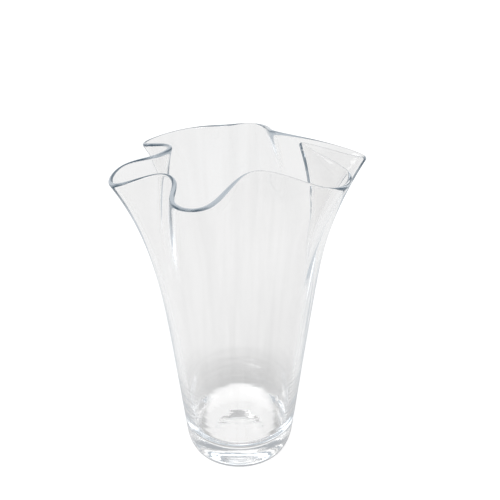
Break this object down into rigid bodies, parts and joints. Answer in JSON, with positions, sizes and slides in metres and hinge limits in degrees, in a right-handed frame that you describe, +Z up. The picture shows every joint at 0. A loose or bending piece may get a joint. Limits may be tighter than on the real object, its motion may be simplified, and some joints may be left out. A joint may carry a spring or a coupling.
{
  "type": "fan vase",
  "caption": "Tall clear glass flower vase with a heavy round foot, a flaring wall and a mouth drawn out into deep soft folds like a fan.",
  "frame": {"origin": "centre of the standing ring, on the plane that the vase stands on", "axes": "+Z up along the axis of the round foot, +Y towards the back of the vase as it is shown, +X towards its widest fold, on the right as it is shown"},
  "size_m": [0.1749, 0.1475, 0.25],
  "materials": {
    "clear_glass": "gloss"
  },
  "bodies": {
    "root": {"vase": "clear_glass"}
  },
  "joints": []
}
